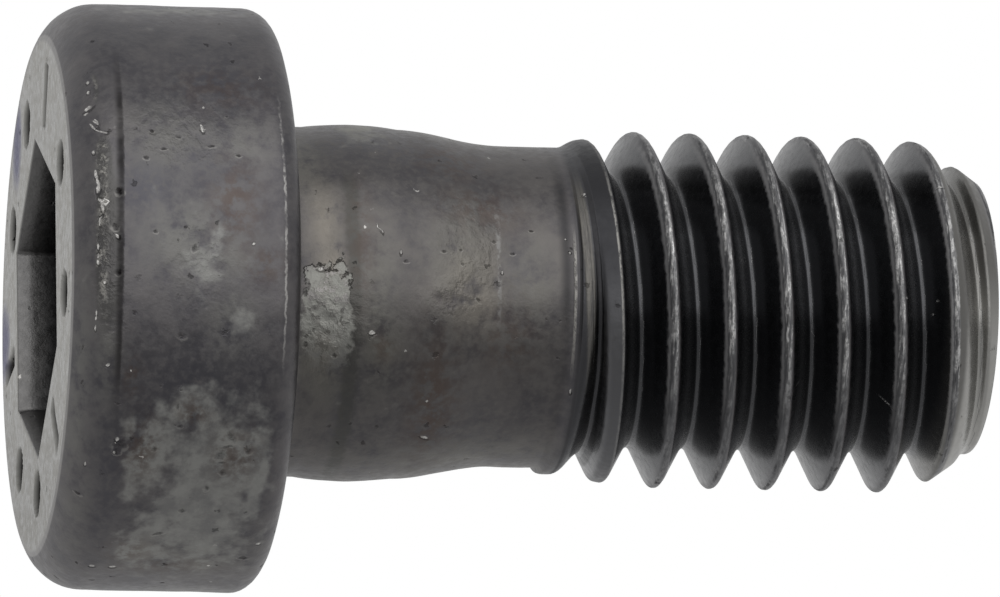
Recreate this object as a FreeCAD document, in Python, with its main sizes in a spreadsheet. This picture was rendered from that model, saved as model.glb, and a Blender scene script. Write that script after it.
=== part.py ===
import FreeCAD, Part
import math
import os

import Sketcher

# A low head socket cap screw, M8 x 1.25 x 16, cold formed from one piece of alloy steel wire
# and thread rolled. It stands on its head: the head's flat face lies on z = 0, and the axis is +Z.
# The outline is a turned section. The socket and the marks are punched into the head's face, and
# the thread is one helical groove that fades in over its first turn. Lengths are in millimetres.

DRIVING_SIZES = {
    # the head
    "head_diameter": 12.69,
    "head_height": 4.85,
    "face_corner_width": 0.775,
    "face_corner_radius": 1.168,
    "under_corner_radius": 0.55,
    # the hexagon socket, for a 6 mm key, punched a hair off centre
    "socket_across_flats": 6.08,
    "socket_depth": 3.2,
    "socket_floor_drop": 0.9,
    "socket_turn": -13.9,
    "socket_offset": 0.06,
    # the stamped marks round the socket: a plain bar and two plain dots, three times over
    "mark_circle_diameter": 8.7,
    "mark_depth": 0.12,
    "mark_bar_length": 1.3,
    "mark_bar_width": 0.34,
    "mark_dot_diameter": 0.9,
    "mark_groups": 3,
    "mark_turn": -171.0,
    # the rolled thread, whose ridge stands this far above the waist that it was rolled from
    "screw_length": 15.81,
    "thread_pitch": 1.25,
    "thread_diameter": 7.75,
    "thread_rise": 0.375,
    "thread_lip_drop": 0.235,
    "thread_lip_length": 0.45,
    "thread_swell_length": 1.5,
    "run_in_length": 1.06,
    "run_in_growth": 0.53,
    # the plain shank, which is upset a little below the head and tapers down to the waist
    "under_head_fillet": 0.45,
    "neck_length": 0.4,
    "bulge_length": 2.1,
    "bulge_radius": 7.49,
    "shank_rise": 0.3,
    "taper_length": 2.2,
    "waist_length": 1.05,
    # the tip
    "tip_round_length": 0.87,
    "tip_round_depth": 0.255,
    "tip_chamfer_length": 0.89,
    "tip_chamfer_depth": 0.63,
}

# A cut reaches this far past the metal, so that it breaks through cleanly.
CUT_OVERREACH = 0.1

document = FreeCAD.newDocument("low_head_cap_screw")
sheet = document.addObject("Spreadsheet::Sheet", "sizes")
for row, (alias, size) in enumerate(DRIVING_SIZES.items(), start=1):
    sheet.set(f"A{row}", alias)
    sheet.set(f"B{row}", str(size))
    sheet.setAlias(f"B{row}", alias)
document.recompute()

screw = document.addObject("PartDesign::Body", "cap_screw")
screw.Label = "cap_screw"
screw.Placement = FreeCAD.Placement()
datums = {datum.Role: datum for datum in screw.Origin.OriginFeatures}

# Radii and heights that several features share, as expressions of the driving sizes.
HEAD_RADIUS = "sizes.head_diameter / 2"
CREST_RADIUS = "sizes.thread_diameter / 2"
WAIST_RADIUS = f"({CREST_RADIUS} - sizes.thread_rise)"
SHANK_RADIUS = f"({WAIST_RADIUS} + sizes.shank_rise)"
UNDER_HEAD = "sizes.head_height"
BULGE_START = f"{UNDER_HEAD} + sizes.under_head_fillet + sizes.neck_length"
TAPER_START = f"{BULGE_START} + sizes.bulge_length"
TAPER_END = f"{TAPER_START} + sizes.taper_length"
THREAD_START = f"{TAPER_END} + sizes.waist_length"
SCREW_END = f"{UNDER_HEAD} + sizes.screw_length"

# The thread form, with 60 degree flanks: a crest flat of an eighth of the pitch, and the depth
# that leaves a root as wide as a rolled one.
FLANK_ANGLE = 30
CREST_FLAT = "sizes.thread_pitch / 8"
THREAD_DEPTH = "17 / 24 * sqrt(3) / 2 * sizes.thread_pitch"
GROOVE_START = f"{THREAD_START} + sizes.run_in_length"

LINE = None


def bow(radius, side):
    """An arc side of an outline: side is 1 where it bends to the left, -1 where it bends right."""
    return radius, side


def attached_sketch(name, plane):
    """An empty sketch on one of the body's own origin planes."""
    sketch = screw.newObject("Sketcher::SketchObject", name)
    sketch.AttachmentSupport = (datums[plane], "")
    sketch.MapMode = "FlatFace"
    return sketch


def pin_point(sketch, geometry, end, coordinates):
    """Holds one end of a side at two coordinates that follow the driving sizes."""
    for kind, axis, expression in zip(("DistanceX", "DistanceY"), (-2, -1), coordinates):
        if expression == "0":
            sketch.addConstraint(Sketcher.Constraint("PointOnObject", geometry, end, axis))
            continue
        place = float(sketch.evalExpression(expression))
        number = sketch.addConstraint(Sketcher.Constraint(kind, -1, 1, geometry, end, place))
        sketch.setExpression(f"Constraints[{number}]", expression)


def draw_side(sketch, start, end, shape):
    """Draws one side between two points. Gives its number and which of its ends comes first."""
    if shape is LINE:
        return sketch.addGeometry(Part.LineSegment(start, end)), (1, 2)
    radius, side = shape
    reach = float(sketch.evalExpression(radius))
    chord = end - start
    left = FreeCAD.Vector(-chord.y, chord.x, 0).normalize()
    height = math.sqrt(max(reach**2 - (chord.Length / 2) ** 2, 0))
    centre = start + chord * 0.5 + left * (height * side)
    circle = Part.Circle(centre, FreeCAD.Vector(0, 0, 1), reach)
    first, last = (start, end) if side > 0 else (end, start)
    angles = [math.atan2(point.y - centre.y, point.x - centre.x) for point in (first, last)]
    geometry = sketch.addGeometry(Part.ArcOfCircle(circle, *angles))
    number = sketch.addConstraint(Sketcher.Constraint("Radius", geometry, reach))
    sketch.setExpression(f"Constraints[{number}]", radius)
    return geometry, (1, 2) if side > 0 else (2, 1)


def draw_outline(sketch, corners):
    """A closed outline. Each corner is (x, y, shape of the side to the next corner)."""
    points = [
        FreeCAD.Vector(float(sketch.evalExpression(x)), float(sketch.evalExpression(y)), 0)
        for x, y, shape in corners
    ]
    sides = []
    for index, (x, y, shape) in enumerate(corners):
        sides.append(draw_side(sketch, points[index], points[(index + 1) % len(points)], shape))
    for index, (geometry, ends) in enumerate(sides):
        before, ends_before = sides[index - 1]
        sketch.addConstraint(
            Sketcher.Constraint("Coincident", before, ends_before[1], geometry, ends[0])
        )
        pin_point(sketch, geometry, ends[0], corners[index][:2])


def add_feature(kind, name, profile):
    """A feature of the body that is made from one sketch."""
    feature = screw.newObject(kind, name)
    feature.Profile = profile
    return feature


def checked_volume(feature, before):
    """The solid's volume after a cut, which has to be less than before it."""
    document.recompute()
    volume = feature.Shape.Volume
    if before is not None and not 0 < volume < before:
        raise RuntimeError(f"{feature.Label} cuts nothing: {before:.3f} to {volume:.3f} mm3")
    return volume


# The turned section, from the centre of the head's face out and up to the tip.
blank_section = attached_sketch("blank_section", "XZ_Plane")
corner = "sizes.face_corner_radius"
corner_height = f"sqrt({corner} ^ 2 - ({corner} - sizes.face_corner_width) ^ 2)"
taper_radius = "(sizes.taper_length ^ 2 + sizes.shank_rise ^ 2) / (4 * sizes.shank_rise)"
tip_round_radius = (
    "(sizes.tip_round_length ^ 2 + sizes.tip_round_depth ^ 2) / (2 * sizes.tip_round_depth)"
)
draw_outline(
    blank_section,
    [
        ("0", "0", LINE),
        (f"{HEAD_RADIUS} - sizes.face_corner_width", "0", bow(corner, 1)),
        (HEAD_RADIUS, corner_height, LINE),
        (HEAD_RADIUS, f"{UNDER_HEAD} - sizes.under_corner_radius", bow("sizes.under_corner_radius", 1)),
        (f"{HEAD_RADIUS} - sizes.under_corner_radius", UNDER_HEAD, LINE),
        (f"{SHANK_RADIUS} + sizes.under_head_fillet", UNDER_HEAD, bow("sizes.under_head_fillet", -1)),
        (SHANK_RADIUS, f"{UNDER_HEAD} + sizes.under_head_fillet", LINE),
        (SHANK_RADIUS, BULGE_START, bow("sizes.bulge_radius", 1)),
        (SHANK_RADIUS, TAPER_START, bow(taper_radius, 1)),
        (
            f"{WAIST_RADIUS} + sizes.shank_rise / 2",
            f"{TAPER_START} + sizes.taper_length / 2",
            bow(taper_radius, -1),
        ),
        (WAIST_RADIUS, TAPER_END, LINE),
        (WAIST_RADIUS, THREAD_START, LINE),
        (
            f"{CREST_RADIUS} - sizes.thread_lip_drop",
            f"{THREAD_START} + sizes.thread_lip_length",
            LINE,
        ),
        (
            CREST_RADIUS,
            f"{THREAD_START} + sizes.thread_lip_length + sizes.thread_swell_length",
            LINE,
        ),
        (
            CREST_RADIUS,
            f"{SCREW_END} - sizes.tip_chamfer_length - sizes.tip_round_length",
            bow(tip_round_radius, 1),
        ),
        (
            f"{CREST_RADIUS} - sizes.tip_round_depth",
            f"{SCREW_END} - sizes.tip_chamfer_length",
            LINE,
        ),
        (
            f"{CREST_RADIUS} - sizes.tip_round_depth - sizes.tip_chamfer_depth",
            SCREW_END,
            LINE,
        ),
        ("0", SCREW_END, LINE),
    ],
)
blank = add_feature("PartDesign::Revolution", "blank", blank_section)
blank.ReferenceAxis = (datums["Z_Axis"], "")
blank.Angle = 360
volume = checked_volume(blank, None)

# The hexagon socket, turned as it was punched, and its shallow cone floor.
socket_hexagon = attached_sketch("socket_hexagon", "XY_Plane")
socket_hexagon.setExpression("AttachmentOffset.Base.x", "sizes.socket_offset")
socket_hexagon.setExpression("AttachmentOffset.Rotation.Angle", "sizes.socket_turn")
socket_corner = "sizes.socket_across_flats / sqrt(3)"
half_flat = f"{socket_corner} / 2"
half_across = "sizes.socket_across_flats / 2"
draw_outline(
    socket_hexagon,
    [
        (socket_corner, "0", LINE),
        (half_flat, half_across, LINE),
        (f"-{half_flat}", half_across, LINE),
        (f"-{socket_corner}", "0", LINE),
        (f"-{half_flat}", f"-{half_across}", LINE),
        (half_flat, f"-{half_across}", LINE),
    ],
)
socket = add_feature("PartDesign::Pocket", "socket", socket_hexagon)
socket.setExpression("Length", "sizes.socket_depth")
socket.Reversed = True
volume = checked_volume(socket, volume)

socket_floor_section = attached_sketch("socket_floor_section", "XZ_Plane")
socket_floor_section.setExpression("AttachmentOffset.Base.x", "sizes.socket_offset")
draw_outline(
    socket_floor_section,
    [
        ("0", "sizes.socket_depth", LINE),
        (half_across, "sizes.socket_depth", LINE),
        ("0", "sizes.socket_depth + sizes.socket_floor_drop", LINE),
    ],
)
socket_floor = add_feature("PartDesign::Groove", "socket_floor", socket_floor_section)
socket_floor.ReferenceAxis = (socket_floor_section, ["V_Axis"])
socket_floor.Angle = 360
volume = checked_volume(socket_floor, volume)

# The stamped marks: one group is drawn, then repeated round the axis.
mark_shapes = attached_sketch("mark_shapes", "XY_Plane")
mark_shapes.setExpression("AttachmentOffset.Rotation.Angle", "sizes.mark_turn")
mark_inner = "(sizes.mark_circle_diameter - sizes.mark_bar_length) / 2"
mark_outer = "(sizes.mark_circle_diameter + sizes.mark_bar_length) / 2"
half_bar = "sizes.mark_bar_width / 2"
draw_outline(
    mark_shapes,
    [
        (mark_inner, f"-{half_bar}", LINE),
        (mark_outer, f"-{half_bar}", LINE),
        (mark_outer, half_bar, LINE),
        (mark_inner, half_bar, LINE),
    ],
)
marks_in_group = 3
for dot in range(1, marks_in_group):
    dot_angle = f"{dot} * 360 / ({marks_in_group} * sizes.mark_groups)"
    dot_place = [
        f"sizes.mark_circle_diameter / 2 * {turn}({dot_angle})" for turn in ("cos", "sin")
    ]
    centre = FreeCAD.Vector(*[float(mark_shapes.evalExpression(place)) for place in dot_place], 0)
    dot_radius = float(mark_shapes.evalExpression("sizes.mark_dot_diameter / 2"))
    ring = mark_shapes.addGeometry(Part.Circle(centre, FreeCAD.Vector(0, 0, 1), dot_radius))
    number = mark_shapes.addConstraint(Sketcher.Constraint("Radius", ring, dot_radius))
    mark_shapes.setExpression(f"Constraints[{number}]", "sizes.mark_dot_diameter / 2")
    pin_point(mark_shapes, ring, 3, dot_place)
mark_group = add_feature("PartDesign::Pocket", "mark_group", mark_shapes)
mark_group.setExpression("Length", "sizes.mark_depth")
mark_group.Reversed = True
volume = checked_volume(mark_group, volume)

marks = screw.newObject("PartDesign::PolarPattern", "marks")
marks.Originals = [mark_group]
marks.Axis = (datums["Z_Axis"], "")
marks.Angle = 360
marks.setExpression("Occurrences", "sizes.mark_groups")
screw.Tip = marks
volume = checked_volume(marks, volume)


def groove_sketch(name):
    """The thread groove's section: a flat root, and flanks that run out past the crests."""
    sketch = attached_sketch(name, "YZ_Plane")
    half_at_crest = f"(sizes.thread_pitch - {CREST_FLAT}) / 2"
    half_mouth = f"({half_at_crest} + {CUT_OVERREACH} * tan({FLANK_ANGLE}))"
    half_root = f"({half_at_crest} - {THREAD_DEPTH} * tan({FLANK_ANGLE}))"
    root = f"{CREST_RADIUS} - {THREAD_DEPTH}"
    mouth = f"{CREST_RADIUS} + {CUT_OVERREACH}"
    draw_outline(
        sketch,
        [
            (root, f"{GROOVE_START} - {half_root}", LINE),
            (mouth, f"{GROOVE_START} - {half_mouth}", LINE),
            (mouth, f"{GROOVE_START} + {half_mouth}", LINE),
            (root, f"{GROOVE_START} + {half_root}", LINE),
        ],
    )
    return sketch


# The right-hand thread: full depth from its start to past the tip.
thread = add_feature("PartDesign::SubtractiveHelix", "thread", groove_sketch("thread_groove"))
thread.ReferenceAxis = (datums["Z_Axis"], "")
thread.Mode = "pitch-height-angle"
thread.setExpression("Pitch", "sizes.thread_pitch")
thread.setExpression("Height", f"{SCREW_END} - ({GROOVE_START}) + sizes.thread_pitch")
thread.Angle = 0
thread.LeftHanded = False
thread.Reversed = False
volume = checked_volume(thread, volume)

# The run-in: the same groove, carried one turn back to the head while it rises out of the metal.
run_in = add_feature("PartDesign::SubtractiveHelix", "thread_run_in", groove_sketch("run_in_groove"))
run_in.ReferenceAxis = (datums["Z_Axis"], "")
run_in.Mode = "height-turns-growth"
run_in.setExpression("Height", "sizes.thread_pitch")
run_in.Turns = 1
run_in.setExpression("Growth", "sizes.run_in_growth")
run_in.LeftHanded = False
run_in.Reversed = True
volume = checked_volume(run_in, volume)

for item in document.Objects:
    if "Invalid" in item.State or "Error" in item.State:
        raise RuntimeError(f"{item.Label} failed: {item.State}")
if screw.Shape.isNull() or not screw.Shape.isValid() or len(screw.Shape.Solids) != 1:
    raise RuntimeError("cap_screw is not one valid solid")

os.makedirs("parts", exist_ok=True)
screw.Shape.exportStep(f"parts/{screw.Label}.step")
print(f"cap_screw: {screw.Shape.Volume:.3f} mm3, {len(screw.Shape.Faces)} faces")
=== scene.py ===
import math

import bpy
import numpy as np
from mathutils import Matrix, Vector, noise


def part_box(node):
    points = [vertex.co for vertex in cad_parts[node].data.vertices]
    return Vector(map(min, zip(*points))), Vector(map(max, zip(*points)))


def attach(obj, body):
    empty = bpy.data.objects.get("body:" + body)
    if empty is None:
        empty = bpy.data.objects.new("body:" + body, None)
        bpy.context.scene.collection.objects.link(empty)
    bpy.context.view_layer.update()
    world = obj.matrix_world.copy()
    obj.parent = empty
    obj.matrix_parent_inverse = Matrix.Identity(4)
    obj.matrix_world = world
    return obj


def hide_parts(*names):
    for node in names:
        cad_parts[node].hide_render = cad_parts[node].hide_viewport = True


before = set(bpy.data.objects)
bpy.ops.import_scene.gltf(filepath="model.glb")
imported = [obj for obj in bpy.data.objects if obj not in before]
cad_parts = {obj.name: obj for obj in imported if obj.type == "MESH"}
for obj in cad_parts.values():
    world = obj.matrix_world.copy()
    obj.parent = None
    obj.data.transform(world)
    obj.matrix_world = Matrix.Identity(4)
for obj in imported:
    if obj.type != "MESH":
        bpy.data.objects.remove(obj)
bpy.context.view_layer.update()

mm = 0.001


# The cap screw's outer form
# A piece of steel wire, upset into a low round head by a die that leaves a soft corner round the
# face, a tight one under the head and a slight swelling below it. The shank is then drawn down to
# the size that the thread is rolled on. Lengths are in millimetres, up from the head's face.
screw_low, screw_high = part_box("cap_screw")
screw_length = (screw_high.z - screw_low.z) / mm
head_radius = (screw_high.x - screw_low.x) / 2 / mm
head_height = 4.85
face_radius = head_radius - 0.775
face_corner = 1.168
under_corner = 0.55
neck_fillet = 0.45
neck_radius = 3.8
neck_end = 5.7
bulge_end = 7.8
bulge_swell = 0.074
waist_start = 10.0
waist_end = 11.05
waist_radius = 3.5
lip_end = 11.5
lip_radius = 3.64
lip_slant = 0.3
swell_end = 13.0
swell_bend = 1.1
crest_radius = 3.885
tip_round_start = 18.9
tip_round_end = 19.77
tip_round_radius = 3.62
tip_end_radius = 2.99

columns_per_flat = 48
columns = 6 * columns_per_flat
socket_turn = -13.9
column_turn = math.radians(socket_turn) + np.arange(columns) * 2 * math.pi / columns


def smooth_step(low, high, value):
    """0 below low, 1 above high, and an even curve between them."""
    share = np.clip((value - low) / (high - low), 0.0, 1.0)
    return share * share * (3 - 2 * share)


def round_off(first, second, reach):
    """The smaller of two heights, with the corner where they meet rounded over that reach."""
    overlap = np.maximum(reach - np.abs(first - second), 0.0) / reach
    return np.minimum(first, second) - overlap * overlap * reach / 4


def blank_radius(around, height):
    """The radius of the shank before its thread is rolled. around is the turn from the front, to +X."""
    bulge = neck_radius + bulge_swell * (
        1 - ((height - (neck_end + bulge_end) / 2) / ((bulge_end - neck_end) / 2)) ** 2
    )
    taper = neck_radius + (waist_radius - neck_radius) * smooth_step(bulge_end, waist_start, height)
    lip_height = height + lip_slant * np.sin(around) ** 3
    lip = waist_radius + (lip_radius - waist_radius) * smooth_step(waist_end, lip_end, lip_height)
    swell = (crest_radius - lip_radius) * (
        np.clip((height - lip_end) / (swell_end - lip_end), 0, 1) ** swell_bend
    )
    tip_drop = (crest_radius - tip_round_radius) * (
        np.clip((height - tip_round_start) / (tip_round_end - tip_round_start), 0, 1) ** 2
    )
    chamfer = (tip_round_radius - tip_end_radius) * (
        np.clip((height - tip_round_end) / (screw_length - tip_round_end), 0, 1)
    )
    body = np.where(height < bulge_end, bulge, taper)
    body = np.where(height > waist_end, lip + swell, body)
    return body - tip_drop - chamfer


# The rolled thread
# M8 coarse, right-handed, pressed in by flat dies that push the steel up into crests. The first
# groove starts shallow and narrow at the shank's lip and is full deep within a turn.
pitch = 1.25
first_crest = 13.39
root_radius = 3.01
root_flat = 0.17
root_rounding = 0.17
crest_flat = 0.13
crest_rounding = 0.10
crest_lean = 0.03
flank_slope = 2 * (crest_radius - root_radius) / (pitch - crest_flat - root_flat)
full_depth_height = 12.14
run_in_rise = 1.8
run_in_shift = 0.62
straight_turns = 0.1
floor_narrowing = 1.5
least_floor = 0.2
gentler_wall = 0.4
gentle_start = 0.05
gentle_full = 0.2


def thread_offset(around, height):
    """How far a point is above the nearest crest line, within half a pitch either way."""
    turns = (height - first_crest) / pitch - around / (2 * math.pi)
    return (turns - np.round(turns)) * pitch


def rolled_radius(around, height):
    """The radius once the thread is rolled. around is the turn from the front, towards +X."""
    offset = thread_offset(around, height)
    radius = blank_radius(around, height)
    for groove in (-1.5, -0.5, 0.5, 1.5):
        to_groove = offset - groove * pitch + crest_lean
        turns_before = np.maximum((full_depth_height - (height - to_groove)) / pitch, 0.0)
        floor = root_radius + run_in_rise * turns_before ** 2
        half_floor = root_flat / 2 * np.maximum(1 - floor_narrowing * turns_before, least_floor)
        to_groove = to_groove - run_in_shift * np.maximum(turns_before - straight_turns, 0.0)
        gentleness = gentler_wall * smooth_step(gentle_start, gentle_full, turns_before)
        slope = flank_slope * np.where(to_groove < 0, 1 - gentleness, 1.0)
        flank = floor + slope * (np.abs(to_groove) - half_floor)
        groove_wall = -round_off(-flank, -floor, root_rounding)
        radius = round_off(radius, groove_wall, crest_rounding)
    return radius


# The screw's mesh, ring by ring
# One closed skin from the socket's floor, up its six walls, over the face, round the head, along the
# shank and thread, to the flat end that the wire was cropped at. Each ring has the same columns.
socket_centre = np.array([0.06, 0.0])
socket_across_flats = 6.08
socket_corner = socket_across_flats / 2 / math.cos(math.radians(30))
socket_depth = 3.2
socket_floor_drop = 0.9
mouth_flare = 0.065
flare_bend = 1.4
flare_depth = 0.37
wall_end = flare_depth * 1.15

mark_circle = 4.35
mark_depth = 0.12
mark_bar_length = 1.3
mark_bar_width = 0.34
mark_dot_radius = 0.45
mark_edge = 0.05
bar_turns = (-171, -51, 69)
dot_turns = (-131, -91, -11, 29, 109, 149)

floor_shares = (0.25, 0.5, 0.72, 0.88, 0.97)
flare_shares = (0.15, 0.3, 0.45, 0.6, 0.75, 0.9)
end_shares = (0.75, 0.5, 0.25)
wall_rings = 9
face_rings = 27
corner_rings = 16
side_rings = 29
under_corner_rings = 9
underside_rings = 5
fillet_rings = 7
neck_rings = 4
shank_rings = 44
thread_rings = 190


def round_ring(radius, height):
    """One ring of points about the axis. radius and height may differ from column to column."""
    radius = np.broadcast_to(np.asarray(radius, float), (columns,))
    height = np.broadcast_to(np.asarray(height, float), (columns,))
    return np.stack([radius * np.cos(column_turn), radius * np.sin(column_turn), height], axis=1)


def hexagon_ring(corner, height):
    """One ring of points on a hexagon about the socket's own centre."""
    turns = np.radians(socket_turn + 60 * np.arange(7))
    corners = socket_centre + corner * np.stack([np.cos(turns), np.sin(turns)], axis=1)
    along = (np.arange(columns_per_flat) / columns_per_flat)[:, None]
    sides = [corners[side] * (1 - along) + corners[side + 1] * along for side in range(6)]
    return np.column_stack([np.concatenate(sides), np.full(columns, float(height))])


def stamp_depth(x, y):
    """How deep the stamped marks press the face in at a point."""
    pressed = np.zeros_like(x)
    for turn in np.radians(bar_turns):
        along = x * math.cos(turn) + y * math.sin(turn) - mark_circle
        across = -x * math.sin(turn) + y * math.cos(turn)
        outside = np.maximum(np.abs(along) - mark_bar_length / 2, np.abs(across) - mark_bar_width / 2)
        pressed = np.maximum(pressed, 1 - smooth_step(-mark_edge, mark_edge, outside))
    for turn in np.radians(dot_turns):
        away = np.hypot(x - mark_circle * math.cos(turn), y - mark_circle * math.sin(turn))
        pressed = np.maximum(pressed, 1 - smooth_step(-mark_edge, mark_edge, away - mark_dot_radius))
    return pressed


rings = []
for share in floor_shares:
    rings.append(hexagon_ring(socket_corner * share, socket_depth + socket_floor_drop * (1 - share)))
for height in np.linspace(socket_depth, wall_end, wall_rings):
    rings.append(hexagon_ring(socket_corner, height))
for share in flare_shares:
    flared_corner = socket_corner + mouth_flare * share ** flare_bend
    rings.append(hexagon_ring(flared_corner, flare_depth * (1 - share)))
face_start = len(rings)

mouth = hexagon_ring(socket_corner + mouth_flare, 0.0)
for share in np.linspace(0, 1, face_rings):
    ring = mouth * (1 - share) + round_ring(face_radius, 0.0) * share
    ring[:, 2] = mark_depth * stamp_depth(ring[:, 0], ring[:, 1])
    rings.append(ring)
side_start = len(rings)

corner_rim = math.degrees(math.acos((face_radius - head_radius + face_corner) / face_corner))
corner_height = face_corner * math.sin(math.radians(corner_rim))
for turn in np.radians(np.linspace(-corner_rim, 0, corner_rings)[1:]):
    rings.append(round_ring(
        head_radius - face_corner + face_corner * math.cos(turn),
        corner_height + face_corner * math.sin(turn),
    ))
for height in np.linspace(corner_height, head_height - under_corner, side_rings)[1:]:
    rings.append(round_ring(head_radius, height))
for turn in np.radians(np.linspace(0, 90, under_corner_rings)[1:]):
    rings.append(round_ring(
        head_radius - under_corner + under_corner * math.cos(turn),
        head_height - under_corner + under_corner * math.sin(turn),
    ))
fillet_radius = neck_radius + neck_fillet
for radius in np.linspace(head_radius - under_corner, fillet_radius, underside_rings)[1:]:
    rings.append(round_ring(radius, head_height))
for turn in np.radians(np.linspace(90, 180, fillet_rings)[1:]):
    rings.append(round_ring(
        fillet_radius + neck_fillet * math.cos(turn),
        head_height + neck_fillet - neck_fillet * math.sin(turn),
    ))
shank_heights = np.concatenate([
    np.linspace(head_height + neck_fillet, neck_end, neck_rings)[1:],
    np.linspace(neck_end, waist_end, shank_rings)[1:],
    np.linspace(waist_end, screw_length, thread_rings)[1:],
])
from_front = column_turn + math.pi / 2
for height in shank_heights:
    radius = neck_radius
    if height > neck_end:
        radius = rolled_radius(from_front, np.full(columns, height))
    rings.append(round_ring(radius, height))
side_end = len(rings)
end_ring = rings[-1]
for share in end_shares:
    rings.append(end_ring * np.array([share, share, 1.0]))

points = np.concatenate(rings)
socket_middle = [*socket_centre, socket_depth + socket_floor_drop]
end_middle = [0.0, 0.0, screw_length]
points = np.vstack([points, socket_middle, end_middle])

faces = []
for ring in range(len(rings) - 1):
    for column in range(columns):
        beside = (column + 1) % columns
        faces.append((
            ring * columns + column,
            ring * columns + beside,
            (ring + 1) * columns + beside,
            (ring + 1) * columns + column,
        ))
last = (len(rings) - 1) * columns
for column in range(columns):
    beside = (column + 1) % columns
    faces.append((len(points) - 2, beside, column))
    faces.append((len(points) - 1, last + column, last + beside))

around = np.arctan2(points[:, 0], -points[:, 1])
height = points[:, 2]
from_axis = np.hypot(points[:, 0], points[:, 1])
numbers = np.arange(len(points))
in_socket_rings = numbers < face_start * columns
in_face_rings = (numbers >= face_start * columns) & (numbers < side_start * columns)
outer = (numbers >= side_start * columns) & (numbers < side_end * columns)


def turn_away(turn):
    """How far round each point is from a turn in degrees, in radians, the shorter way."""
    return (around - math.radians(turn) + math.pi) % (2 * math.pi) - math.pi


def spread(spots):
    """How strongly soft oval spots cover each point: (turn, height, half width, half length, strength)."""
    cover = np.zeros(len(points))
    for turn, spot_height, half_width, half_length, strength in spots:
        across = turn_away(turn) * from_axis / half_width
        distance = across ** 2 + ((height - spot_height) / half_length) ** 2
        cover = np.maximum(cover, strength * np.exp(-distance))
    return np.where(outer, cover, 0.0)


# Where the black coat is rubbed to pale grey steel
pale_spots = [
    (43, 3.05, 2.6, 1.25, 1.0),
    (57, 1.95, 1.1, 0.55, 0.95),
    (22, 2.9, 0.7, 0.35, 0.8),
    (-76, 6.8, 0.9, 0.5, 0.9),
    (27, 1.95, 0.8, 0.5, 0.75),
    (36, 1.5, 0.9, 0.4, 0.7),
    (34, 3.8, 0.7, 0.35, 0.75),
    (-6, 2.75, 0.5, 0.4, 0.8),
    (33, 1.8, 0.8, 0.35, 1.15),
    (20, 2.4, 0.5, 0.3, 1.0),
    (36, 4.1, 1.5, 0.25, 1.05),
    (26, 1.25, 0.5, 0.2, 0.8),
    (3, 3.5, 0.4, 0.4, 0.6),
    (-78, 2.9, 0.5, 1.9, 0.7),
    (-12, 3.0, 0.4, 0.3, 0.6),
    (125, 2.2, 2.4, 1.1, 1.0),
    (178, 3.1, 1.8, 0.9, 0.9),
    (-140, 2.2, 2.4, 0.8, 0.8),
    (-120, 6.2, 1.2, 0.7, 0.9),
    (-160, 8.9, 1.4, 0.9, 0.8),
]
# Where it is only thinned, and shows greenish grey
thin_spots = [
    (-12, 2.3, 0.9, 0.9, 1.0),
    (-8, 3.2, 0.6, 0.6, 0.8),
    (-33, 2.0, 1.0, 0.9, 0.8),
    (-32, 3.5, 0.7, 0.8, 0.8),
    (60, 3.0, 1.2, 1.6, 0.9),
    (8, 0.7, 1.4, 0.25, 0.9),
    (-20, 0.65, 1.3, 0.25, 0.9),
    (4, 3.3, 0.7, 0.5, 0.9),
    (-8, 6.9, 1.3, 0.4, 0.7),
    (8, 6.8, 1.1, 0.4, 0.9),
    (20, 5.8, 1.0, 0.5, 0.9),
    (-14, 8.7, 1.3, 0.8, 0.8),
    (-8, 10.3, 1.2, 0.5, 0.6),
    (66, 9.0, 0.8, 2.5, 0.7),
    (-54, 5.4, 1.0, 0.35, 1.0),
    (20, 0.2, 2.6, 0.2, 0.9),
    (52, 0.35, 2.0, 0.3, 0.7),
    (17, 5.5, 0.7, 0.6, 1.0),
    (13, 7.0, 0.9, 0.4, 0.9),
    (90, 3.4, 1.4, 1.0, 0.8),
    (-100, 9.0, 1.5, 1.4, 0.9),
    (160, 7.0, 1.5, 1.2, 0.9),
]
# Bare steel that fingers have polished, warm in tone
warm_spots = [
    (-27, 5.72, 1.1, 0.36, 1.0),
    (-13, 5.85, 0.7, 0.34, 0.95),
    (-4, 8.8, 1.0, 0.5, 0.7),
    (-12, 9.3, 0.8, 0.4, 0.5),
    (-1, 9.0, 0.7, 0.7, 0.9),
    (14, 5.7, 0.8, 0.4, 0.5),
    (-130, 8.4, 1.6, 0.6, 0.8),
    (120, 5.8, 1.2, 0.4, 0.8),
]
# Brown stain, where oil and rust dried
brown_spots = [
    (-19, 3.4, 0.9, 0.5, 0.9),
    (-7, 4.0, 0.4, 0.4, 0.8),
    (15, 1.25, 0.4, 0.2, 0.9),
    (22, 2.6, 0.35, 0.35, 1.0),
    (30, 1.6, 0.7, 0.35, 1.0),
    (31, 3.6, 0.6, 0.5, 0.9),
    (58, 1.7, 0.5, 0.5, 0.8),
    (64, 2.6, 0.5, 1.2, 0.6),
    (33, 8.2, 1.6, 0.5, 1.0),
    (-58, 8.6, 0.8, 0.8, 0.7),
    (-45, 3.2, 0.6, 1.0, 0.6),
    (12, 9.8, 0.7, 0.6, 0.7),
    (14, 7.0, 0.3, 0.3, 0.8),
    (-22, 6.5, 1.4, 0.25, 0.6),
    (-36, 9.2, 0.6, 0.9, 0.7),
    (100, 3.0, 1.0, 0.6, 0.8),
    (-150, 7.2, 1.4, 0.6, 0.8),
    (165, 1.6, 1.0, 0.5, 0.8),
]
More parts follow.
